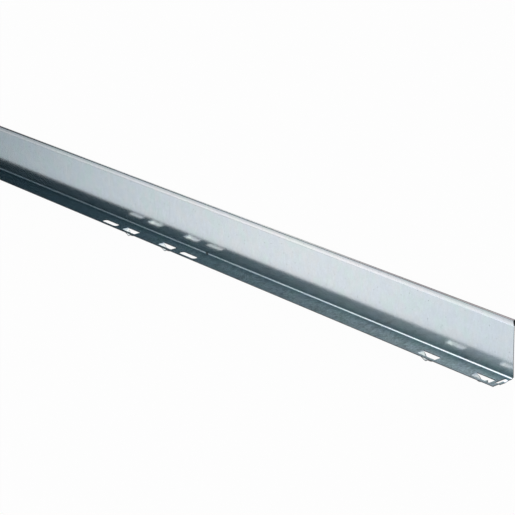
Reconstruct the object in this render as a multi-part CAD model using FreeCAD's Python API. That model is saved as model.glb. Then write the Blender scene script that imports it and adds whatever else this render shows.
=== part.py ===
import FreeCAD, Part
import math
import os

# A cable tray divider: one length of zinc coated steel sheet, punched, hemmed and bent to an L.
# It lies on the back of its web with the flange standing up, as it comes to rest on a floor.
# X runs along the length, Y up the web from the flange's outer face to the hem, Z up the flange.
# In its tray the flange lies on the tray's floor, and the web stands up between the cables.

# Stock
stock_length = 2000.0
sheet = 0.8

# Section
web_height = 59.5        # from the flange's outer face to the top of the hem
flange_width = 26.0      # from the back of the web to the flange's free edge
bend_radius = 1.0        # inside the bend between web and flange
hem_height = 7.0         # from the kink in the web to the top of the hem
hem_radius = 1.5         # outside of the fold, which is centred on the web's mid-plane
hem_gap = 0.15           # between the hem's cut edge and the back of the web
hem_return_short = 0.5   # the cut edge stops this far above the kink
kink_radius = 3.0

# Punching: groups at one pitch along the flange, counted from the right end
group_pitch = 500.0
end_to_first_group = 57.1
full_groups = 3          # past the end group, each with two fixing slots outside its hook slots
slot_margin = 3.0        # from the slots' sides to the flange's free edge
fixing_slot_width = 7.0
fixing_slot_length = 28.5
fixing_slot_spacing = 154.0
hook_slot_width = 8.7
hook_slot_length = 24.8
hook_slot_corner = 1.0
hook_spacing = 72.0

# Hook tongues, bent down out of the hook slots from their left ends
hook_reach = 5.5         # below the flange's outer face
last_hook_reach = 3.7    # the hook nearest to the right end is bent less
hook_side_gap = 0.3      # between a tongue's root and the slot's sides
hook_tip_width = 4.6
hook_taper_end = 8.5     # from the slot's end to where the tongue's sides run parallel
hook_slope_start = 0.5   # from the slot's end to the first bend
hook_slope_run = 8.0     # along X, down to the lowest part of the hook
hook_flat_run = 1.8
hook_rise_run = 2.4
hook_tip_rise = 1.5      # from the lowest part up to the tip, which is level again
hook_tip_run = 5.6
last_hook_rise_run = 7.2  # the last hook's outer part rises evenly, nearly to its tip
hook_bend_radius = 1.2   # at the sheet's mid-plane

# Joining loop: a strip at the right end, parted by a slit and pressed down by a sheet's thickness
flange_set_back = 1.0    # the flange and its bend end this far short of the web
loop_width = 2.8
loop_slit_width = 2.1
loop_start = 4.0         # from the face of the web to the slit
loop_length = 14.6
loop_depth = 1.0
loop_ramp_near_web = 4.0
loop_ramp_far = 1.6
loop_bend_radius = 1.0
loop_seat = 1.5          # how far the strip's ends reach into the flange

ROOT_OVERLAP = 2.0
CUT_OVERSHOOT = 3.0
TINY = 1e-6

# Levels that follow from the sizes above
web_mid_z = hem_radius
web_face_z = web_mid_z + sheet / 2
web_back_z = web_mid_z - sheet / 2
flange_edge_z = web_back_z + flange_width
slot_top_z = flange_edge_z - slot_margin
fixing_slot_z = slot_top_z - fixing_slot_width / 2
hook_z = slot_top_z - hook_slot_width / 2
right_end_x = stock_length / 2
flange_end_x = right_end_x - flange_set_back
origin_y = (web_height - hook_reach) / 2


def add(p, q, factor=1.0):
    return (p[0] + q[0] * factor, p[1] + q[1] * factor)


def direction(p, q):
    length = math.hypot(q[0] - p[0], q[1] - p[1])
    return ((q[0] - p[0]) / length, (q[1] - p[1]) / length)


def left_normal(d):
    return (-d[1], d[0])


def strip_side(corners, radii, offset):
    """One side of a bent strip: its mid-line's straight runs and arcs, moved left by offset."""
    runs = []
    here = add(corners[0], left_normal(direction(corners[0], corners[1])), offset)
    for i, radius in enumerate(radii, start=1):
        before = direction(corners[i - 1], corners[i])
        after = direction(corners[i], corners[i + 1])
        turn = math.atan2(before[0] * after[1] - before[1] * after[0],
                          before[0] * after[0] + before[1] * after[1])
        tangent = radius * math.tan(abs(turn) / 2)
        side = math.copysign(1.0, turn)
        centre = add(add(corners[i], before, -tangent), left_normal(before), side * radius)
        arc_start = add(add(corners[i], before, -tangent), left_normal(before), offset)
        arc_end = add(add(corners[i], after, tangent), left_normal(after), offset)
        arc_middle = add(centre, direction(centre, corners[i]), radius - side * offset)
        if math.dist(here, arc_start) > TINY:
            runs.append((here, arc_start))
        runs.append((arc_start, arc_middle, arc_end))
        here = arc_end
    last = add(corners[-1], left_normal(direction(corners[-2], corners[-1])), offset)
    runs.append((here, last))
    return runs


def bent_strip(corners, radii, to_space, extrusion):
    """Sheet bent round the corners of its mid-line, extruded. to_space places a 2-D point."""
    left = strip_side(corners, radii, sheet / 2)
    right = strip_side(corners, radii, -sheet / 2)
    outline = left + [(left[-1][-1], right[-1][-1])]
    outline += [tuple(reversed(run)) for run in reversed(right)]
    outline.append((right[0][0], left[0][0]))
    return Part.Face(wire_of(outline, to_space)).extrude(extrusion)


def wire_of(runs, to_space):
    """A wire of runs: two points make a straight edge, three an arc."""
    edges = []
    for run in runs:
        points = [to_space(*p) for p in run]
        if len(points) == 3:
            edges.append(Part.Arc(*points).toShape())
        else:
            edges.append(Part.LineSegment(*points).toShape())
    return Part.Wire(edges)


def corner_over_fold(point, side):
    """Where a leg from point, tangent to the fold's mid-line circle, meets the level of its top."""
    radius = hem_radius - sheet / 2
    centre = (web_height - hem_radius, web_mid_z)
    away = (point[0] - centre[0], point[1] - centre[1])
    angle = math.atan2(away[1], away[0]) - side * math.acos(radius / math.hypot(*away))
    touch = add(centre, (math.cos(angle), math.sin(angle)), radius)
    leg = direction(point, touch)
    top = web_height - sheet / 2
    return (top, point[1] + leg[1] * (top - point[0]) / leg[0])


def profile():
    """The L section with its hemmed top, carried along the stock length."""
    kink = (web_height - hem_height, web_mid_z)
    cut_edge = (kink[0] + hem_return_short, web_back_z - hem_gap - sheet / 2)
    corners = [
        (sheet / 2, flange_edge_z),
        (sheet / 2, web_mid_z),
        kink,
        corner_over_fold(kink, 1),
        corner_over_fold(cut_edge, -1),
        cut_edge,
    ]
    fold = hem_radius - sheet / 2
    radii = [bend_radius + sheet / 2, kink_radius, fold, fold]
    return bent_strip(corners, radii,
                      lambda y, z: FreeCAD.Vector(-stock_length / 2, y, z),
                      FreeCAD.Vector(stock_length, 0, 0))


def through_flange(runs):
    """A cutter with the given outline in X and Z, right through the flange and what hangs below."""
    low = -(hook_reach + CUT_OVERSHOOT)
    face = Part.Face(wire_of(runs, lambda x, z: FreeCAD.Vector(x, low, z)))
    return face.extrude(FreeCAD.Vector(0, sheet + CUT_OVERSHOOT - low, 0))


def round_ended_slot(x0, x1, z0, z1):
    """A slot's outline with round ends on its shorter sides."""
    if x1 - x0 > z1 - z0:
        r = (z1 - z0) / 2
        z = (z0 + z1) / 2
        return [((x0 + r, z0), (x1 - r, z0)), ((x1 - r, z0), (x1, z), (x1 - r, z1)),
                ((x1 - r, z1), (x0 + r, z1)), ((x0 + r, z1), (x0, z), (x0 + r, z0))]
    r = (x1 - x0) / 2
    x = (x0 + x1) / 2
    return [((x0, z1 - r), (x0, z0 + r)), ((x0, z0 + r), (x, z0), (x1, z0 + r)),
            ((x1, z0 + r), (x1, z1 - r)), ((x1, z1 - r), (x, z1), (x0, z1 - r))]


def fixing_slot(x):
    """A plain slot centred on x."""
    half = fixing_slot_length / 2
    return through_flange(round_ended_slot(x - half, x + half, slot_top_z - fixing_slot_width, slot_top_z))


def hook_slot(x):
    """A slot from x to the right, square where its tongue is bent, with small round corners at its far end."""
    far = x + hook_slot_length
    low = slot_top_z - hook_slot_width
    high = slot_top_z
    r = hook_slot_corner
    mid = r * (1 - math.sqrt(0.5))
    return through_flange([
        ((x, low), (far - r, low)), ((far - r, low), (far - mid, low + mid), (far, low + r)),
        ((far, low + r), (far, high - r)), ((far, high - r), (far - mid, high - mid), (far - r, high)),
        ((far - r, high), (x, high)), ((x, high), (x, low))])


def tongue_outline(x, tip):
    """A tongue in X and Z: parallel up to the slot's end, tapering, then parallel to its round tip."""
    root = hook_slot_width / 2 - hook_side_gap
    end = hook_tip_width / 2
    sides = [(x - ROOT_OVERLAP, root), (x, root), (x + hook_taper_end, end), (tip - end, end)]
    low = [(px, hook_z - half) for px, half in sides]
    high = [(px, hook_z + half) for px, half in reversed(sides)]
    runs = list(zip(low, low[1:]))
    runs.append((low[-1], (tip, hook_z), high[0]))
    runs += list(zip(high, high[1:]))
    runs.append((high[-1], low[0]))
    return runs


def hook_tongue(x, reach, rise_run):
    """The tongue of the slot that starts at x: it slopes down, runs level, and rises to its tip."""
    level = -reach + sheet / 2
    slope_top = x + hook_slope_start
    slope_foot = slope_top + hook_slope_run
    flat_end = slope_foot + hook_flat_run
    rise_end = flat_end + rise_run
    tip = flat_end + hook_rise_run + hook_tip_run
    corners = [
        (x - ROOT_OVERLAP, sheet / 2),
        (slope_top, sheet / 2),
        (slope_foot, level),
        (flat_end, level),
        (rise_end, level + hook_tip_rise),
        (tip, level + hook_tip_rise),
    ]
    low = slot_top_z - hook_slot_width
    band = bent_strip(corners, [hook_bend_radius] * 4,
                      lambda a, y: FreeCAD.Vector(a, y, low),
                      FreeCAD.Vector(0, 0, hook_slot_width))
    return band.common(through_flange(tongue_outline(x, tip)))


def set_back():
    """The room that the flange and its bend leave beside the web's right end."""
    low = FreeCAD.Vector(flange_end_x, -(hook_reach + CUT_OVERSHOOT), -CUT_OVERSHOOT)
    return Part.makeBox(flange_set_back + CUT_OVERSHOOT, hook_reach + CUT_OVERSHOOT + sheet + bend_radius,
                        flange_edge_z + 2 * CUT_OVERSHOOT, low)


def loop_cutters():
    """The slit, and the room beyond it that the lowered strip leaves in the flange."""
    z0 = web_face_z + loop_start
    z1 = z0 + loop_length
    slit_right = flange_end_x - loop_width
    slit_left = slit_right - loop_slit_width
    slit = through_flange(round_ended_slot(slit_left, slit_right, z0, z1))
    inset = loop_slit_width / 2
    beyond = flange_end_x + CUT_OVERSHOOT
    room = [((slit_right - inset, z0 + inset), (beyond, z0 + inset)),
            ((beyond, z0 + inset), (beyond, z1 - inset)),
            ((beyond, z1 - inset), (slit_right - inset, z1 - inset)),
            ((slit_right - inset, z1 - inset), (slit_right - inset, z0 + inset))]
    return [slit, through_flange(room)]


def loop_strip():
    """The lowered strip across the right end, with a ramp at each of its ends."""
    near = web_face_z + loop_start + loop_slit_width / 2
    far = web_face_z + loop_start + loop_length - loop_slit_width / 2
    level = sheet / 2
    corners = [
        (near - loop_seat, level),
        (near, level),
        (near + loop_ramp_near_web, level - loop_depth),
        (far - loop_ramp_far, level - loop_depth),
        (far, level),
        (far + loop_seat, level),
    ]
    return bent_strip(corners, [loop_bend_radius] * 4,
                      lambda z, y: FreeCAD.Vector(flange_end_x - loop_width, y, z),
                      FreeCAD.Vector(loop_width, 0, 0))


def divider():
    """The whole divider as one solid, at its place in the frame."""
    body = profile()
    cutters = loop_cutters() + [set_back()]
    added = [loop_strip()]
    for group in range(full_groups + 1):
        middle = right_end_x - end_to_first_group - group * group_pitch
        for side in (-1, 1):
            hook_x = middle + side * hook_spacing / 2 - hook_slot_length / 2
            is_last = group == 0 and side > 0
            cutters.append(hook_slot(hook_x))
            added.append(hook_tongue(hook_x, last_hook_reach if is_last else hook_reach,
                                     last_hook_rise_run if is_last else hook_rise_run))
            if group > 0:
                cutters.append(fixing_slot(middle + side * fixing_slot_spacing / 2))
    body = body.cut(cutters).fuse(added).removeSplitter()
    body = body.Solids[0] if len(body.Solids) == 1 else body
    body.translate(FreeCAD.Vector(0, -origin_y, 0))
    return body


os.makedirs("parts", exist_ok=True)
shape = divider()
shape.exportStep("parts/divider_profile.step")
box = shape.BoundBox
print("solids", len(shape.Solids), "valid", shape.isValid(), "volume cm3", round(shape.Volume / 1000, 2))
print("x", round(box.XMin, 3), round(box.XMax, 3), "y", round(box.YMin, 3), round(box.YMax, 3),
      "z", round(box.ZMin, 3), round(box.ZMax, 3))
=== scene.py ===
import math

import bpy
import numpy as np
from mathutils import Matrix


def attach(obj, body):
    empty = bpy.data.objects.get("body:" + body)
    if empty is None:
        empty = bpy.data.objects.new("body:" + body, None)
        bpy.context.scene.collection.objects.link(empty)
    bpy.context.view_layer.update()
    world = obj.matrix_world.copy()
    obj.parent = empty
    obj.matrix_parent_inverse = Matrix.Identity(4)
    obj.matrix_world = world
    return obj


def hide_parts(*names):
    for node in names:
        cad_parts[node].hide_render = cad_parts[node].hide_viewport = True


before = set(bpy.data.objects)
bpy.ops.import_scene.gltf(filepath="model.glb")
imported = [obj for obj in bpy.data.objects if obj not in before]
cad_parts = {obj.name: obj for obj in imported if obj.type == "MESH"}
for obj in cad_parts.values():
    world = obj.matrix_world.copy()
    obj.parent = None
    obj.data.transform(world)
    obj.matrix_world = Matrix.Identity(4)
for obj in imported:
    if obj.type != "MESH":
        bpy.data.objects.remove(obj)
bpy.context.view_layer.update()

MM = 0.001
TINY = 1e-6

# The divider's sizes in millimetres, as in the part's source
LENGTH = 2000.0
SHEET = 0.8
WEB_HEIGHT = 59.5
FLANGE_WIDTH = 26.0
BEND_RADIUS = 1.0
HEM_HEIGHT = 7.0
HEM_RADIUS = 1.5
HEM_GAP = 0.15
HEM_RETURN_SHORT = 0.5
GROUP_PITCH = 500.0
END_TO_FIRST_GROUP = 57.1
FULL_GROUPS = 3
SLOT_MARGIN = 3.0
FIXING_SLOT_WIDTH = 7.0
FIXING_SLOT_LENGTH = 28.5
FIXING_SLOT_SPACING = 154.0
HOOK_SLOT_WIDTH = 8.7
HOOK_SLOT_LENGTH = 24.8
HOOK_SLOT_CORNER = 1.0
HOOK_SPACING = 72.0
HOOK_REACH = 5.5
LAST_HOOK_REACH = 3.7
HOOK_SIDE_GAP = 0.3
HOOK_TIP_WIDTH = 4.6
HOOK_TAPER_END = 8.5
HOOK_SLOPE_START = 0.5
HOOK_SLOPE_RUN = 8.0
HOOK_FLAT_RUN = 1.8
HOOK_RISE_RUN = 2.4
HOOK_TIP_RISE = 1.5
HOOK_TIP_RUN = 5.6
LAST_HOOK_RISE_RUN = 7.2
HOOK_BEND_RADIUS = 1.2
FLANGE_SET_BACK = 1.0
LOOP_WIDTH = 2.8
LOOP_SLIT_WIDTH = 2.1
LOOP_START = 4.0
LOOP_LENGTH = 14.6
LOOP_DEPTH = 1.0
LOOP_RAMP_NEAR_WEB = 4.0
LOOP_RAMP_FAR = 1.6
LOOP_BEND_RADIUS = 1.0

# The scene's own sizes. The web bows out near the bend and the hem's front has a belly, for the way
# they mirror the room. The bow's height is from the flange's outer face, the belly's from the kink.
WEB_BOW = 0.45
WEB_BOW_HEIGHT = 18.0
WEB_BOW_RADIUS = 400.0
KINK_RADIUS = 0.8
BELLY = 0.85
BELLY_HEIGHT = 2.63
BELLY_RADIUS = 20.0
LOOP_LEVEL_RUN = 0.4

# Levels that follow from them
MID = SHEET / 2
ORIGIN_Y = (WEB_HEIGHT - HOOK_REACH) / 2
WEB_Z = HEM_RADIUS
FACE_Z = WEB_Z + MID
EDGE_Z = WEB_Z - MID + FLANGE_WIDTH
SLOT_TOP = EDGE_Z - SLOT_MARGIN
FIXING_R = FIXING_SLOT_WIDTH / 2
FIXING_Z = SLOT_TOP - FIXING_R
HOOK_Z = SLOT_TOP - HOOK_SLOT_WIDTH / 2
HOOK_LOW = SLOT_TOP - HOOK_SLOT_WIDTH
HOOK_HALF = HOOK_SLOT_WIDTH / 2 - HOOK_SIDE_GAP
BAND_LOW = HOOK_LOW - SLOT_MARGIN
RIGHT = LENGTH / 2
FLANGE_END = RIGHT - FLANGE_SET_BACK
SLIT_R = LOOP_SLIT_WIDTH / 2
SLIT_X = FLANGE_END - LOOP_WIDTH - SLIT_R
SLIT_LOW = FACE_Z + LOOP_START + SLIT_R
SLIT_HIGH = SLIT_LOW + LOOP_LENGTH - 2 * SLIT_R

# The flange's quads: rows by height, and columns along the length. Rows named EVEN follow no
# feature and only keep the quads alike.
ROW_START = 5.0
EVEN_LOW_ROW = 9.5
EVEN_HOOK_ROWS = (18.3, 20.8, 22.3)
EVEN_ROWS_UNDER_SLIT = (5.6, 6.3)
EVEN_ROWS_OVER_SLIT = (25.0, 22.4)
HOOK_ROWS = np.sort([HOOK_Z - HOOK_HALF, SLOT_TOP - FIXING_SLOT_WIDTH, SLIT_HIGH,
                     HOOK_Z + HOOK_HALF, *EVEN_HOOK_ROWS])
STRIP_SHARES = np.array([0.0, 0.5, 1.0])
BAND_ROWS = np.concatenate([BAND_LOW + SLOT_MARGIN * STRIP_SHARES, HOOK_ROWS,
                            SLOT_TOP + SLOT_MARGIN * STRIP_SHARES])
LOW_ROWS = np.array([ROW_START, SLIT_LOW, EVEN_LOW_ROW])
FLANGE_ROWS = np.concatenate([LOW_ROWS, BAND_ROWS])
CAP_ANGLES = np.radians([0.0, 9.0, 18.0, 27.0, 36.0, 45.0])
CORNER_ANGLES = np.radians([90.0, 67.5, 45.0, 22.5, 0.0])
TIP_ANGLES = np.radians(np.linspace(0, 86, 10))
HOOK_END_ZONE = 1.5
LONGEST_QUAD = 25.0
SLOT_COLUMNS = 5


def bent_line(corners, radii, arc_steps=10, support=0.25):
    """Mid-line of bent sheet: straight runs joined by arcs tangent to both. An arc's point at share
    t is its centre plus the radius turned by t times the turn, and a support point stands on each
    straight run just off its arcs. Returns the points and the unit normals on the line's left."""
    corners = [np.array(c, float) for c in corners]
    points, normals = [], []
    here = corners[0]
    for i in range(1, len(corners)):
        run = corners[i] - corners[i - 1]
        before = run / np.linalg.norm(run)
        left = np.array([-before[1], before[0]])
        last = i == len(corners) - 1
        if last:
            end = corners[i]
        else:
            run = corners[i + 1] - corners[i]
            after = run / np.linalg.norm(run)
            turn = math.atan2(before[0] * after[1] - before[1] * after[0], before @ after)
            radius = radii[i - 1]
            end = corners[i] - before * radius * math.tan(abs(turn) / 2)
        length = np.linalg.norm(end - here)
        inset = min(support, length / 3)
        shares = np.unique(np.round([0.0, inset / length, 1 - inset / length, 1.0], 9))
        points.append(here + (end - here) * shares[:, None])
        normals.append(np.repeat(left[None], len(shares), 0))
        if last:
            break
        centre = end + left * math.copysign(radius, turn)
        steps = max(3, int(round(arc_steps * abs(turn) / (math.pi / 2))))
        angle = turn * np.linspace(0, 1, steps + 1)[1:]
        cos, sin = np.cos(angle), np.sin(angle)
        arm = end - centre
        points.append(centre + np.stack([arm[0] * cos - arm[1] * sin,
                                         arm[0] * sin + arm[1] * cos], 1))
        normals.append(np.stack([left[0] * cos - left[1] * sin, left[0] * sin + left[1] * cos], 1))
        here = points[-1][-1]
        points[-1], normals[-1] = points[-1][:-1], normals[-1][:-1]
    return np.concatenate(points), np.concatenate(normals)


def over_fold(point, side):
    """Where a leg from point, tangent to the hem's fold, meets the level of the fold's top."""
    radius = HEM_RADIUS - MID
    centre = np.array([WEB_HEIGHT - HEM_RADIUS, WEB_Z])
    away = np.array(point) - centre
    angle = math.atan2(away[1], away[0]) - side * math.acos(radius / np.linalg.norm(away))
    touch = centre + radius * np.array([math.cos(angle), math.sin(angle)])
    leg = touch - point
    top = WEB_HEIGHT - MID
    return (top, point[1] + leg[1] * (top - point[0]) / leg[0])


def section_line():
    """The profile's mid-line in Y and Z, from the flange's first row round the bend, up the web and
    round the hem to its cut edge."""
    bow = (WEB_BOW_HEIGHT, WEB_Z + WEB_BOW)
    kink = (WEB_HEIGHT - HEM_HEIGHT, WEB_Z)
    belly = (kink[0] + BELLY_HEIGHT, WEB_Z + BELLY)
    cut_edge = (kink[0] + HEM_RETURN_SHORT, WEB_Z - MID - HEM_GAP - MID)
    corners = [(MID, ROW_START), (MID, WEB_Z), bow, kink, belly, over_fold(belly, 1),
               over_fold(cut_edge, -1), cut_edge]
    fold = HEM_RADIUS - MID
    return bent_line(corners, [BEND_RADIUS + MID, WEB_BOW_RADIUS, KINK_RADIUS, BELLY_RADIUS, fold,
                               fold])


class Sheet:
    """Grids of points on the sheet's mid-surface, joined where they meet, then given thickness."""

    # Points on one step of this many millimetres are one point. The shift keeps round sizes away
    # from the borders between two steps.
    WELD = 1e-4
    WELD_SHIFT = 0.31

    def __init__(self):
        self.points, self.normals, self.faces, self.count = [], [], [], 0

    def grid(self, points, normals):
        """Adds a grid of quads. points has rows, columns and three coordinates, and normals has as
        many or is spread over them."""
        rows, columns = points.shape[:2]
        index = self.count + np.arange(rows * columns).reshape(rows, columns)
        quads = np.stack([index[:-1, :-1], index[1:, :-1], index[1:, 1:], index[:-1, 1:]], -1)
        self.points.append(points.reshape(-1, 3))
        self.normals.append(np.broadcast_to(normals, points.shape).reshape(-1, 3))
        self.faces.append(quads.reshape(-1, 4))
        self.count += rows * columns

    def flat(self, x, z):
        """A grid on the flange's mid-surface, whose left side faces up the web."""
        x, z = np.broadcast_arrays(x, z)
        self.grid(np.stack([x, np.full(x.shape, MID), z], -1), np.array([0.0, 1.0, 0.0]))

    def ring(self, inner, border):
        """A band of quads from the points of a slot's outline out to their partners on a border."""
        points = inner + (border - inner) * STRIP_SHARES[:, None, None]
        self.flat(points[..., 0], points[..., 1])

    def cap(self, centre_x, centre_z, radius, border):
        """A half ring round a slot's end. Each point lies on the slot's arc in the direction of its
        partner on the border."""
        centre = np.array([centre_x, centre_z])
        arm = border - centre
        self.ring(centre + radius * arm / np.linalg.norm(arm, axis=1)[:, None], border)

    def solid(self):
        """Both sides of the sheet, each half the thickness along the normal from the mid-surface,
        and a rim across each free edge. Returns points, quads, and which quads are rim."""
        points = np.concatenate(self.points)
        normals = np.concatenate(self.normals)
        faces = np.concatenate(self.faces)
        key = np.round(points / self.WELD + self.WELD_SHIFT).astype(np.int64)
        _, first, inverse = np.unique(key, axis=0, return_index=True, return_inverse=True)
        points, normals = points[first], normals[first]
        faces = inverse.reshape(-1)[faces]
        corner = points[faces]
        across = np.cross(corner[:, 2] - corner[:, 0], corner[:, 3] - corner[:, 1])
        turned = np.einsum("ij,ij->i", across, normals[faces].sum(1)) < 0
        faces[turned] = faces[turned][:, ::-1]
        starts = faces.reshape(-1)
        ends = np.roll(faces, -1, axis=1).reshape(-1)
        n = len(points)
        edge = np.minimum(starts, ends) * n + np.maximum(starts, ends)
        _, first, count = np.unique(edge, return_index=True, return_counts=True)
        free = first[count == 1]
        a, b = starts[free], ends[free]
        rim = np.stack([b, a, a + n, b + n], 1)
        both = np.concatenate([points + MID * normals, points - MID * normals])
        quads = np.concatenate([faces, faces[:, ::-1] + n, rim])
        is_rim = np.arange(len(quads)) >= 2 * len(faces)
        return both, quads, is_rim


def column(x, rows):
    """Points at one x and each of the rows' heights."""
    rows = np.array(rows, float)
    return np.stack([np.full(rows.shape, x), rows], 1)


def row(x, height):
    """Points at each x and one height."""
    return np.stack([x, np.full(x.shape, height)], 1)


def within(rows, low, high):
    """The rows from low to high."""
    return rows[(rows >= low - TINY) & (rows <= high + TINY)]


def cap_border(centre_x, side):
    """The border of a fixing slot's end zone, from above the arc's centre round to below it."""
    x = centre_x + side * (EDGE_Z - FIXING_Z) * np.tan(CAP_ANGLES)
    end = column(x[-1], BAND_ROWS[::-1])
    return np.concatenate([row(x, EDGE_Z), end[1:-1], row(x[::-1], BAND_LOW)]), x


def square_cap(sheet, right):
    """The zone round a hook slot's right end, whose corners are quarter circles. Returns its
    columns."""
    r = HOOK_SLOT_CORNER
    arc = np.stack([right - r + r * np.cos(CORNER_ANGLES),
                    SLOT_TOP - r + r * np.sin(CORNER_ANGLES)], 1)
    rows = within(BAND_ROWS, HOOK_LOW, SLOT_TOP)[::-1]
    share = (SLOT_TOP - rows) / HOOK_SLOT_WIDTH
    side = column(right, SLOT_TOP - r - (HOOK_SLOT_WIDTH - 2 * r) * share)
    low_arc = np.stack([arc[::-1, 0], HOOK_LOW + SLOT_TOP - arc[::-1, 1]], 1)
    inner = np.concatenate([arc[:-1], side, low_arc[1:]])
    far = right + HOOK_END_ZONE
    x = np.array([right - r, (right - r + far) / 2, far])
    border = np.concatenate([row(x, EDGE_Z), [[far, BAND_ROWS[-2]]], column(far, rows),
                             [[far, BAND_ROWS[1]]], row(x[::-1], BAND_LOW)])
    sheet.ring(inner, border)
    return x


def hook_tongue(sheet, x0, reach, rise_run):
    """A hook: rows across the tongue, squeezed toward its tip, along a bent line down and out. Its
    half width falls in a straight line along the taper and ends in a half ellipse."""
    level = -reach + MID
    slope_top = x0 + HOOK_SLOPE_START
    slope_foot = slope_top + HOOK_SLOPE_RUN
    flat_end = slope_foot + HOOK_FLAT_RUN
    rise_end = flat_end + rise_run
    tip = flat_end + HOOK_RISE_RUN + HOOK_TIP_RUN
    line, normal = bent_line([(x0, MID), (slope_top, MID), (slope_foot, level), (flat_end, level),
                              (rise_end, level + HOOK_TIP_RISE), (tip, level + HOOK_TIP_RISE)],
                             [HOOK_BEND_RADIUS] * 4, arc_steps=8)
    end_run = HOOK_TIP_WIDTH / 2
    end_start = tip - end_run
    keep = line[:, 0] < end_start
    x = end_start + end_run * np.sin(TIP_ANGLES)
    line = np.concatenate([line[keep], row(x, level + HOOK_TIP_RISE)])
    normal = np.concatenate([normal[keep], np.repeat(normal[-1:], len(x), 0)])
    taper = np.clip((line[:, 0] - x0) / HOOK_TAPER_END, 0, 1)
    half = HOOK_HALF + (HOOK_TIP_WIDTH / 2 - HOOK_HALF) * taper
    rounding = np.clip((line[:, 0] - end_start) / end_run, 0, 1)
    half = half * (1 - rounding ** 2) ** 0.5
    z = HOOK_Z + half[:, None] * (HOOK_ROWS[None] - HOOK_Z) / HOOK_HALF
    x, y, z = np.broadcast_arrays(line[:, :1], line[:, 1:], z)
    normals = np.concatenate([normal, np.zeros((len(normal), 1))], 1)
    sheet.grid(np.stack([x, y, z], -1), normals[:, None])


def punchings():
    """The band's slots from left to right. Each has its left end, its length, and the reach and
    the run of the rise of its hook, if it has one."""
    found = []
    for group in range(FULL_GROUPS + 1):
        middle = RIGHT - END_TO_FIRST_GROUP - group * GROUP_PITCH
        for side in (-1, 1):
            is_last = group == 0 and side > 0
            hook = (LAST_HOOK_REACH, LAST_HOOK_RISE_RUN) if is_last else (HOOK_REACH, HOOK_RISE_RUN)
            x0 = middle + side * HOOK_SPACING / 2 - HOOK_SLOT_LENGTH / 2
            found.append((x0, HOOK_SLOT_LENGTH, hook))
            if group > 0:
                x0 = middle + side * FIXING_SLOT_SPACING / 2 - FIXING_SLOT_LENGTH / 2
                found.append((x0, FIXING_SLOT_LENGTH, ()))
    return sorted(found)


def punched_band(sheet):
    """The flange's band with the slots and hooks. Returns the columns that the rows below it
    follow, and where the band ends."""
    columns = [np.array([-RIGHT])]
    here = -RIGHT
    for x0, length, hook in punchings():
        if hook:
            plain_end, left, right = x0, x0, x0 + length - HOOK_SLOT_CORNER
            low = HOOK_LOW
        else:
            left, right = x0 + FIXING_R, x0 + length - FIXING_R
            low = FIXING_Z - FIXING_R
            border, x = cap_border(left, -1)
            sheet.cap(left, FIXING_Z, FIXING_R, border)
            columns.append(x[::-1])
            plain_end = x[-1]
        count = max(2, int((plain_end - here) / LONGEST_QUAD) + 2)
        plain = np.linspace(here, plain_end, count)
        sheet.flat(plain[:, None], BAND_ROWS[None])
        straight = np.linspace(left, right, SLOT_COLUMNS)
        sheet.flat(straight[:, None], SLOT_TOP + SLOT_MARGIN * STRIP_SHARES[None])
        sheet.flat(straight[:, None], BAND_LOW + (low - BAND_LOW) * STRIP_SHARES[None])
        columns += [plain, straight]
        if hook:
            x = square_cap(sheet, x0 + length)
            hook_tongue(sheet, x0, *hook)
        else:
            border, x = cap_border(right, 1)
            sheet.cap(right, FIXING_Z, FIXING_R, border)
        columns.append(x)
        here = x[-1]
    return np.unique(np.concatenate(columns).round(6)), here


def slit_end(sheet, start):
    """The right end's flange round the slit, with the strip beyond it pressed down along a bent
    line. Returns its columns."""
    x = np.concatenate([np.linspace(start, SLIT_X, SLOT_COLUMNS)[:-1],
                        np.linspace(SLIT_X, FLANGE_END, SLOT_COLUMNS)])
    low = within(FLANGE_ROWS, ROW_START, SLIT_LOW)[::-1]
    high = within(FLANGE_ROWS, SLIT_HIGH, EDGE_Z)
    for rows, slit, even, edge in ((low, SLIT_LOW, EVEN_ROWS_UNDER_SLIT, ROW_START),
                                   (high, SLIT_HIGH, EVEN_ROWS_OVER_SLIT, EDGE_Z)):
        border = np.concatenate([column(start, rows)[:-1], row(x, edge),
                                 column(FLANGE_END, [*even, slit])])
        sheet.cap(SLIT_X, slit, SLIT_R, border)
    slit_left = SLIT_X - SLIT_R
    beside = slit_left + (start - slit_left) * STRIP_SHARES
    sheet.flat(beside[:, None], within(FLANGE_ROWS, SLIT_LOW, SLIT_HIGH)[None])
    level = MID - LOOP_DEPTH
    line, normal = bent_line([(SLIT_LOW, MID), (SLIT_LOW + LOOP_LEVEL_RUN, MID),
                              (SLIT_LOW + LOOP_RAMP_NEAR_WEB, level),
                              (SLIT_HIGH - LOOP_RAMP_FAR, level),
                              (SLIT_HIGH - LOOP_LEVEL_RUN, MID), (SLIT_HIGH, MID)],
                             [LOOP_BEND_RADIUS] * 4, arc_steps=12, support=0.05)
    across = FLANGE_END - LOOP_WIDTH + LOOP_WIDTH * STRIP_SHARES
    strip = np.broadcast_arrays(across[:, None], line[None, :, 1], line[None, :, 0])
    normals = np.stack([np.zeros(len(line)), normal[:, 1], normal[:, 0]], 1)
    sheet.grid(np.stack(strip, -1), normals[None])
    return x


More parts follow.
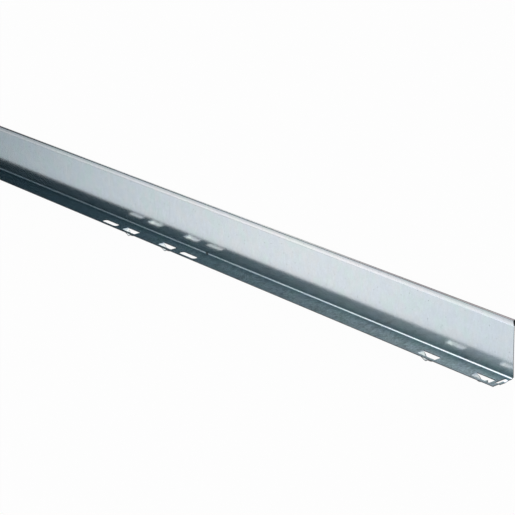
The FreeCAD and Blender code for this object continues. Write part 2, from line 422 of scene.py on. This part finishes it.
def divider_mesh():
    """The whole divider: its punched band, the plain rows below it, and the bent section carried
    along the length."""
    sheet = Sheet()
    columns, band_end = punched_band(sheet)
    sheet.flat(columns[:, None], FLANGE_ROWS[:len(LOW_ROWS) + 1][None])
    columns = np.unique(np.concatenate([columns, slit_end(sheet, band_end)]).round(6))
    line, normal = section_line()
    bend_end = int(np.argmax(line[:, 0] > SHEET + BEND_RADIUS - TINY))
    for part, x in ((slice(0, bend_end + 1), columns),
                    (slice(bend_end, None), np.append(columns, RIGHT))):
        points = np.broadcast_arrays(x[:, None], line[part, 0], line[part, 1])
        normals = np.concatenate([np.zeros((len(line[part]), 1)), normal[part]], 1)
        sheet.grid(np.stack(points, -1), normals[None])
    return sheet.solid()


def make_mesh(name, points, quads, is_rim):
    """A mesh in metres from points in millimetres. Edges between a side and a rim stay sharp."""
    mesh = bpy.data.meshes.new(name)
    mesh.vertices.add(len(points))
    places = ((points - [0, ORIGIN_Y, 0]) * MM).astype(np.float32)
    mesh.vertices.foreach_set("co", places.ravel())
    mesh.loops.add(quads.size)
    mesh.loops.foreach_set("vertex_index", quads.astype(np.int32).ravel())
    mesh.polygons.add(len(quads))
    mesh.polygons.foreach_set("loop_start", np.arange(0, quads.size, 4, dtype=np.int32))
    mesh.polygons.foreach_set("use_smooth", np.ones(len(quads), bool))
    mesh.update(calc_edges=True)
    rim_loops = np.repeat(is_rim, 4)
    loop_edges = np.zeros(quads.size, np.int32)
    mesh.loops.foreach_get("edge_index", loop_edges)
    rim_uses = np.bincount(loop_edges, rim_loops, len(mesh.edges))
    side_uses = np.bincount(loop_edges, ~rim_loops, len(mesh.edges))
    sharp = mesh.attributes.new("sharp_edge", "BOOLEAN", "EDGE")
    sharp.data.foreach_set("value", (rim_uses > 0) & (side_uses > 0))
    cut = mesh.attributes.new("cut_edge", "FLOAT", "FACE")
    cut.data.foreach_set("value", is_rim.astype(np.float32))
    mesh.validate()
    return mesh


def placed(name, data):
    """A new object with the data, in the scene."""
    made = bpy.data.objects.new(name, data)
    bpy.context.scene.collection.objects.link(made)
    return made


divider = placed("divider_sheet", make_mesh("divider_sheet", *divider_mesh()))


class Nodes:
    """Adds nodes to a tree. A value given to one is a number, a colour or another node's output."""

    def __init__(self, tree):
        self.tree = tree

    def add(self, kind, **settings):
        """A new node with its own properties set, in the next place of a grid."""
        down, right = divmod(len(self.tree.nodes), 12)
        made = self.tree.nodes.new(kind)
        made.location = (-2400 + 200 * right, 600 - 300 * down)
        for name, value in settings.items():
            setattr(made, name, value)
        return made

    def feed(self, value, socket):
        """Joins an output to a socket, or writes a number or colour to it."""
        if isinstance(value, bpy.types.NodeSocket):
            self.tree.links.new(value, socket)
        else:
            socket.default_value = value

    def math(self, operation, first, second=0.0, third=0.0):
        made = self.add("ShaderNodeMath", operation=operation)
        for value, socket in zip((first, second, third), made.inputs):
            self.feed(value, socket)
        return made.outputs[0]

    def product(self, first, *others):
        for other in others:
            first = self.math("MULTIPLY", first, other)
        return first

    def between(self, share, low, high):
        """A number from low to high by share."""
        return self.math("MULTIPLY_ADD", share, high - low, low)

    def distance(self, value, place):
        """How far the value is from the place."""
        return self.math("ABSOLUTE", self.math("SUBTRACT", value, place))

    def step(self, value, start, end, low=0.0, high=1.0, kind="SMOOTHSTEP"):
        """A step of the value, from low at start to high at end."""
        made = self.add("ShaderNodeMapRange", interpolation_type=kind)
        for name, number in (("Value", value), ("From Min", start), ("From Max", end),
                             ("To Min", low), ("To Max", high)):
            self.feed(number, made.inputs[name])
        return made.outputs["Result"]

    def mix(self, share, low, high, blend="MIX"):
        """A mix of two colours by share."""
        made = self.add("ShaderNodeMix", data_type="RGBA", blend_type=blend)
        for name, value in (("Factor", share), ("A", low), ("B", high)):
            self.feed(value, made.inputs[name])
        return made.outputs["Result"]

    def shades(self, value, stops):
        """Colours along the value, straight in between the stops. A stop is a place and a
        colour."""
        start, end = stops[0][0], stops[-1][0]
        made = self.add("ShaderNodeValToRGB")
        elements = made.color_ramp.elements
        elements.remove(elements[1])
        elements[0].position, elements[0].color = 0.0, (*stops[0][1], 1)
        for place, colour in stops[1:]:
            elements.new((place - start) / (end - start)).color = (*colour, 1)
        self.feed(self.step(value, start, end, kind="LINEAR"), made.inputs["Fac"])
        return made.outputs["Color"]


class Finish(Nodes):
    """Builds a material from patterns on Object coordinates, in millimetres."""

    def __init__(self, name):
        self.material = bpy.data.materials.new(name)
        self.material.use_nodes = True
        super().__init__(self.material.node_tree)
        self.shader = self.tree.nodes["Principled BSDF"]
        metres = self.add("ShaderNodeTexCoord").outputs["Object"]
        self.place = self.vector("SCALE", metres, scale=1 / MM)
        parts = self.add("ShaderNodeSeparateXYZ")
        self.feed(self.place, parts.inputs[0])
        self.x, self.y, self.z = parts.outputs

    def vector(self, operation, first, second=None, third=None, scale=None):
        made = self.add("ShaderNodeVectorMath", operation=operation)
        for value, socket in ((first, 0), (second, 1), (third, 2), (scale, "Scale")):
            if value is not None:
                self.feed(value, made.inputs[socket])
        return made.outputs["Vector"]

    def noise(self, size, place=None, detail=3.0, roughness=0.5):
        """Cloudy noise from 0 to 1, whose clouds are about the size across."""
        made = self.add("ShaderNodeTexNoise")
        for name, value in (("Vector", place or self.place), ("Scale", 1 / size),
                            ("Detail", detail), ("Roughness", roughness)):
            self.feed(value, made.inputs[name])
        return made

    def cells(self, size, place=None):
        """Cells of about the size round scattered points."""
        made = self.add("ShaderNodeTexVoronoi")
        self.feed(place or self.place, made.inputs["Vector"])
        self.feed(1 / size, made.inputs["Scale"])
        return made

    def tinted(self, colour, share, tint):
        """The colour, multiplied by the tint where the share is 1."""
        return self.mix(share, colour, tint, "MULTIPLY")


# Colours of the metal, and tints that multiply them
ZINC_WARM = (0.62, 0.68, 0.725, 1)
ZINC_COLD = (0.585, 0.69, 0.72, 1)
ZINC_BLUE = (0.60, 0.675, 0.745, 1)
# A painted sheen: the lighter colour of the pressed-out hooks and strip
PRESSED_SHEEN = (0.84, 0.91, 0.92, 1)
# Bare steel on the cut edges, darkened further as painted shade
CUT_STEEL_AND_SHADE = (0.09, 0.094, 0.10, 1)
# Painted shade on the web beside the bend
CORNER_SHADE = (0.60, 0.68, 0.70, 1)
WARM_FOLD = (1.16, 1.03, 0.97, 1)
# Painted shade over the top of the hem's fold
FOLD_SHADE = (0.30, 0.29, 0.30, 1)

# Sizes of the metal's patterns in millimetres
PATCH, BLUE_PATCH = 24.0, 16.0
GRAIN, GRAIN_CLOUD, GRAIN_WANDER = 7.0, 4.2, 5.0
MARK, MARK_STRETCH = 2.2, 0.35
FINE_MARK = 1.8
PINHOLE_SPACING = 5.0
NICK_X, NICK_WIDTH = 530.0, 4.2

# How strongly the grains and marks lighten and darken, and what the dark spots and the painted
# shade in the crease leave of the level
GRAIN_STRENGTH = 0.7
MARKS_ON_FLANGE, MARKS_ON_WEB = 0.17, 0.02
IN_PINHOLE, IN_CREASE_SHADE, IN_NICK = 0.68, 0.95, 0.25

ROUGH_FLANGE, ROUGH_WEB, CUT_ROUGHER_BY = 0.07, 0.175, 0.15
RELIEF_STRENGTH, RELIEF_DEPTH = 0.8, 0.02

# Levels in the frame that the patterns start from
FOOT_LEVEL = -ORIGIN_Y
CORNER_LEVEL = SHEET - ORIGIN_Y
KINK_LEVEL = WEB_HEIGHT - HEM_HEIGHT - ORIGIN_Y
TOP_LEVEL = WEB_HEIGHT - ORIGIN_Y

# Edges: each goes from where there is none of its pattern to where there is all of it. The first
# two lines are shares of a noise or of a cell, and the others are places along X, Y and Z, heights
# above the corner beside the bend, and distances from the crease and the nick.
PATCH_EDGE, BLUE_EDGE, MARK_EDGE = (0.40, 0.60), (0.42, 0.62), (0.3, 0.7)
PINHOLE_EDGE, PINHOLE_CHOICE = (0.16, 0.05), (0.48, 0.55)
WEB_EDGE = (FACE_Z + 2.5, FACE_Z + 1.5)
PRESSED_SHEEN_EDGE = (FOOT_LEVEL - 0.05, FOOT_LEVEL - 0.30)
FOLD_EDGE = (TOP_LEVEL - 1.1, TOP_LEVEL - 0.6)
FOLD_SHADE_LEFT, FOLD_SHADE_RIGHT = (380.0, 100.0), (560.0, 900.0)
ABOVE_BEND, CORNER_SHADE_EDGE = (0.7, 1.2), (8.0, 0.5)
MORE_CORNER_SHADE_EDGE, MORE_SHADE_RIGHT = (12.0, 1.0), (650.0, 1000.0)
CREASE_SHADE_EDGE = (0.7, 0.2)
NICK_ENDS = (NICK_WIDTH * 0.6, NICK_WIDTH * 0.4)
NICK_ABOVE_BEND, NICK_BEFORE_WEB = (2.0, 1.2), (FACE_Z + 2.0, FACE_Z + 1.2)


def zinc_colour(steel, above, on_web):
    """Bluish grey in faint patches, with a painted sheen where the punch has pressed the metal out
    of the flange, painted shade on the web beside the bend, more so toward the right end, and
    warmer over the hem's fold, with painted shade there except in the middle of what the
    photograph shows."""
    tint = steel.step(steel.noise(PATCH).outputs["Fac"], *PATCH_EDGE)
    colour = steel.mix(tint, ZINC_WARM, ZINC_COLD)
    blue = steel.step(steel.noise(BLUE_PATCH).outputs["Color"], *BLUE_EDGE)
    colour = steel.mix(blue, colour, ZINC_BLUE)
    # Painted sheen: the hooks and the pressed strip get a lighter colour
    colour = steel.mix(steel.step(steel.y, *PRESSED_SHEEN_EDGE), colour, PRESSED_SHEEN)

    # Painted shade: the web darkens toward the bend, and more so toward the right end
    web_corner = steel.product(on_web, steel.step(above, *ABOVE_BEND))
    corner_shade = steel.product(web_corner, steel.step(above, *CORNER_SHADE_EDGE))
    colour = steel.tinted(colour, corner_shade, CORNER_SHADE)
    more_corner_shade = steel.product(web_corner, steel.step(above, *MORE_CORNER_SHADE_EDGE),
                           steel.step(steel.x, *MORE_SHADE_RIGHT))
    colour = steel.tinted(colour, more_corner_shade, CORNER_SHADE)

    on_fold = steel.step(steel.y, *FOLD_EDGE)
    colour = steel.tinted(colour, on_fold, WARM_FOLD)
    # Painted shade: the top of the hem's fold is darker toward both ends
    shaded_ends = steel.math("ADD", steel.step(steel.x, *FOLD_SHADE_LEFT),
                           steel.step(steel.x, *FOLD_SHADE_RIGHT))
    return steel.tinted(colour, steel.product(on_fold, shaded_ends), FOLD_SHADE)


def zinc_level(steel, above, on_web, across, fine):
    """How light the metal is: grains and marks about 1, darker in pinholes at some of the scattered
    points and in a nick in the bend, and darker by painted shade in the crease under the hem."""
    cloud = steel.noise(GRAIN_CLOUD).outputs["Color"]
    moved = steel.vector("MULTIPLY_ADD", cloud, (GRAIN_WANDER,) * 3, steel.place)
    grains = steel.step(steel.cells(GRAIN, moved).outputs["Color"], 0.0, 1.0, -1.0, 1.0)
    marks = steel.math("ADD", steel.step(across, *MARK_EDGE, -1.0, 1.0),
                       steel.step(fine, *MARK_EDGE, -1.0, 1.0))
    marks = steel.math("MULTIPLY_ADD", grains, GRAIN_STRENGTH, marks)
    strength = steel.between(on_web, MARKS_ON_FLANGE, MARKS_ON_WEB)
    level = steel.math("MULTIPLY_ADD", marks, strength, 1.0)

    holes = steel.cells(PINHOLE_SPACING)
    hole = steel.product(steel.step(holes.outputs["Distance"], *PINHOLE_EDGE),
                         steel.step(holes.outputs["Color"], *PINHOLE_CHOICE))
    # Painted shade along the crease under the hem
    crease_shade = steel.step(steel.distance(steel.y, KINK_LEVEL), *CREASE_SHADE_EDGE)
    nick = steel.product(steel.step(steel.distance(steel.x, NICK_X), *NICK_ENDS),
                         steel.step(above, *NICK_ABOVE_BEND),
                         steel.step(steel.z, *NICK_BEFORE_WEB))
    return steel.product(level, steel.between(hole, 1.0, IN_PINHOLE),
                         steel.between(crease_shade, 1.0, IN_CREASE_SHADE), steel.between(nick, 1.0, IN_NICK))


def galvanised_steel():
    """Bare zinc coating on sheet: satin, with fine marks across the sheet that show more on the
    flange than on the web, and darker where it is cut: bare steel there, darkened further as
    painted shade."""
    steel = Finish("galvanised_steel")
    above = steel.math("SUBTRACT", steel.y, CORNER_LEVEL)
    on_web = steel.step(steel.z, *WEB_EDGE)
    stretched = steel.vector("MULTIPLY", steel.place, (1.0, MARK_STRETCH, MARK_STRETCH))
    across = steel.noise(MARK, stretched, roughness=0.6).outputs["Fac"]
    fine = steel.noise(FINE_MARK, roughness=0.65).outputs["Fac"]

    level = steel.add("ShaderNodeCombineColor")
    lightness = zinc_level(steel, above, on_web, across, fine)
    for socket in level.inputs:
        steel.feed(lightness, socket)
    colour = steel.mix(1.0, zinc_colour(steel, above, on_web), level.outputs[0], "MULTIPLY")
    cut = steel.add("ShaderNodeAttribute", attribute_name="cut_edge").outputs["Fac"]
    rough = steel.between(on_web, ROUGH_FLANGE, ROUGH_WEB)

    relief = steel.add("ShaderNodeBump")
    for name, value in (("Strength", RELIEF_STRENGTH), ("Distance", RELIEF_DEPTH * MM),
                        ("Height", steel.math("MULTIPLY_ADD", fine, 0.5, across))):
        steel.feed(value, relief.inputs[name])
    # The cut edges' colour is bare steel, darkened further as painted shade
    for name, value in (("Base Color", steel.mix(cut, colour, CUT_STEEL_AND_SHADE)), ("Metallic", 1.0),
                        ("Roughness", steel.math("MULTIPLY_ADD", cut, CUT_ROUGHER_BY, rough)),
                        ("Normal", relief.outputs["Normal"])):
        steel.feed(value, steel.shader.inputs[name])
    return steel.material


divider.data.materials.append(galvanised_steel())
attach(divider, "root")
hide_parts("divider_profile")

# Floor. The camera and mirrors see it as nearly plain white, with a trace of the divider's shadow.
FLOOR_HALF = 15.0
FLOOR_COLOUR = (0.9, 0.9, 0.9, 1)
FLOOR_WHITE = 0.96
floor_mesh = bpy.data.meshes.new("floor")
square = [(x * FLOOR_HALF, y * FLOOR_HALF, 0) for x, y in ((-1, -1), (1, -1), (1, 1), (-1, 1))]
floor_mesh.from_pydata(square, [], [(0, 1, 2, 3)])
floor = placed("floor", floor_mesh)
floor_material = bpy.data.materials.new("floor")
floor_material.use_nodes = True
paint = Nodes(floor_material.node_tree)
matt = paint.tree.nodes["Principled BSDF"]
matt.inputs["Base Color"].default_value = FLOOR_COLOUR
matt.inputs["Roughness"].default_value = 0.9
rays = paint.add("ShaderNodeLightPath").outputs
seen = rays["Is Camera Ray"]
for ray in ("Is Glossy Ray", "Is Transmission Ray"):
    seen = paint.math("MAXIMUM", seen, rays[ray])
shown = paint.add("ShaderNodeMixShader")
for value, socket in ((paint.math("MULTIPLY", seen, FLOOR_WHITE), 0), (matt.outputs[0], 1),
                      (paint.add("ShaderNodeEmission").outputs[0], 2)):
    paint.feed(value, shown.inputs[socket])
paint.feed(shown.outputs[0], paint.tree.nodes["Material Output"].inputs["Surface"])
floor.data.materials.append(floor_material)

# Camera: the photograph's view. Its place and turns are given with the web standing, as in its
# tray: millimetres from the flange's outer face at the web's front and right end, and radians.
CAMERA_PLACE = (1073.3609, -1117.5217, 677.7870)
YAW, PITCH, ROLL = -0.9149, 0.3447, -0.0334
camera_data = bpy.data.cameras.new("camera")
camera_data.sensor_width = 36.0
camera_data.sensor_fit = "HORIZONTAL"
camera_data.lens = 127.10
camera_data.clip_end = 50.0
camera = placed("camera", camera_data)


def laid_down(v):
    """From the web standing to the web lying on its back."""
    return np.array([v[0], v[2], -v[1]])


forward = np.array([math.sin(YAW) * math.cos(PITCH), math.cos(YAW) * math.cos(PITCH),
                    -math.sin(PITCH)])
level = np.array([math.cos(YAW), -math.sin(YAW), 0])
upright = np.cross(level, forward)
to_right = math.cos(ROLL) * level + math.sin(ROLL) * upright
to_top = math.cos(ROLL) * upright - math.sin(ROLL) * level
matrix = np.eye(4)
matrix[:3, :3] = np.array([laid_down(to_right), laid_down(to_top), -laid_down(forward)]).T
matrix[:3, 3] = (laid_down(CAMERA_PLACE) + [RIGHT, -ORIGIN_Y, FACE_Z]) * MM
camera.matrix_world = Matrix(matrix.tolist())
bpy.context.scene.camera = camera

# Studio: its light goes by two measures of the direction. One is the angle round the divider's
# length in degrees, where 0 is level on the hem's side, 90 is overhead and 180 is level on the
# flange's side. The other is the direction's share along the length, from -1 at the left end to 1
# at the right. Shades are named by the part of the divider that mirrors them in the photograph,
# and the ones overhead show from other sides.
world = bpy.data.worlds.new("studio")
bpy.context.scene.world = world
world.use_nodes = True
studio = Nodes(world.node_tree)
direction = studio.add("ShaderNodeSeparateXYZ")
studio.feed(studio.add("ShaderNodeTexCoord").outputs["Generated"], direction.inputs[0])
along = direction.outputs["X"]
turn = studio.math("ARCTAN2", direction.outputs["Z"], direction.outputs["Y"])
around = studio.math("DEGREES", turn)

# The angles round the length at which one set of shades goes over into the next
BEND_TO_FLANGE = (40.5, 47.0)
FLANGE_TO_TOP = (74.0, 92.0)
TOP_TO_WEB = (103.0, 116.0)

in_bend_and_hooks = studio.shades(along, [
    (-0.85, (0.20, 0.25, 0.28)), (-0.825, (0.07, 0.10, 0.12)), (-0.80, (0.09, 0.12, 0.14)),
    (-0.78, (0.17, 0.21, 0.23)), (-0.766, (0.17, 0.20, 0.21)), (-0.742, (0.60, 0.70, 0.72)),
    (-0.718, (1.22, 1.36, 1.36)), (-0.69, (2.05, 1.93, 1.90)), (-0.66, (2.9, 2.5, 2.45)),
    (-0.63, (3.6, 3.3, 3.3)), (-0.50, (1.6, 1.6, 1.6)), (-0.35, (1.0, 1.0, 1.0)),
    (-0.12, (1.50, 1.33, 1.22)), (0.0, (1.65, 1.48, 1.36)), (0.15, (1.95, 1.73, 1.60)),
    (0.4, (0.80, 0.78, 0.76)), (1.0, (0.25, 0.27, 0.30))])
in_flange = studio.shades(along, [
    (-0.85, (0.0, 0.008, 0.014)), (-0.80, (0.004, 0.032, 0.045)), (-0.78, (0.065, 0.115, 0.135)),
    (-0.727, (0.185, 0.235, 0.24)), (-0.69, (0.36, 0.39, 0.375)), (-0.654, (0.62, 0.64, 0.61)),
    (-0.56, (0.66, 0.67, 0.66)), (-0.35, (0.44, 0.45, 0.46)), (0.4, (0.36, 0.37, 0.38)),
    (1.0, (0.15, 0.16, 0.18))])
across_flange = studio.shades(around, [
    (40, (0.5, 0.5, 0.5)), (55, (0.6, 0.6, 0.6)), (59, (0.83, 0.83, 0.83)), (63, (1.2, 1.2, 1.2)),
    (80, (1.6, 1.6, 1.6))])
in_web = studio.shades(along, [
    (-0.87, (0.29, 0.32, 0.34)), (-0.835, (0.47, 0.51, 0.53)), (-0.816, (0.79, 0.83, 0.83)),
    (-0.802, (0.93, 0.94, 0.95)), (-0.784, (0.99, 0.975, 0.98)), (-0.766, (1.15, 1.12, 1.10)),
    (-0.718, (1.32, 1.25, 1.205)), (-0.671, (1.08, 1.08, 1.08)), (-0.60, (1.02, 1.02, 1.03)),
    (-0.35, (0.85, 0.85, 0.86)), (0.0, (0.72, 0.73, 0.75)), (0.5, (0.55, 0.57, 0.60)),
    (1.0, (0.30, 0.32, 0.35))])
web_to_hem = studio.shades(around, [
    (90, (1.0, 1.0, 1.0)), (118, (1.0, 1.0, 1.0)), (124, (0.80, 0.79, 0.78)),
    (128, (0.70, 0.67, 0.65)), (133, (0.86, 0.82, 0.80)), (138, (1.10, 1.03, 1.0)),
    (146, (1.24, 1.155, 1.125)), (153, (1.18, 1.105, 1.08)), (160, (1.0, 0.95, 0.93)),
    (180, (1.0, 1.0, 1.0))])
overhead = studio.shades(along, [
    (-1.0, (0.36, 0.39, 0.42)), (-0.85, (0.28, 0.31, 0.33)), (-0.7, (0.48, 0.50, 0.51)),
    (-0.4, (0.78, 0.79, 0.80)), (0.3, (0.70, 0.71, 0.73)), (1.0, (0.30, 0.32, 0.35))])
in_flange = studio.mix(1.0, in_flange, across_flange, "MULTIPLY")
in_web_and_hem = studio.mix(1.0, in_web, web_to_hem, "MULTIPLY")
light = in_bend_and_hooks
for border, shades in ((BEND_TO_FLANGE, in_flange), (FLANGE_TO_TOP, overhead),
                       (TOP_TO_WEB, in_web_and_hem)):
    light = studio.mix(studio.step(around, *border), light, shades)
studio.feed(light, studio.tree.nodes["Background"].inputs["Color"])

bpy.context.scene.view_settings.view_transform = "Standard"
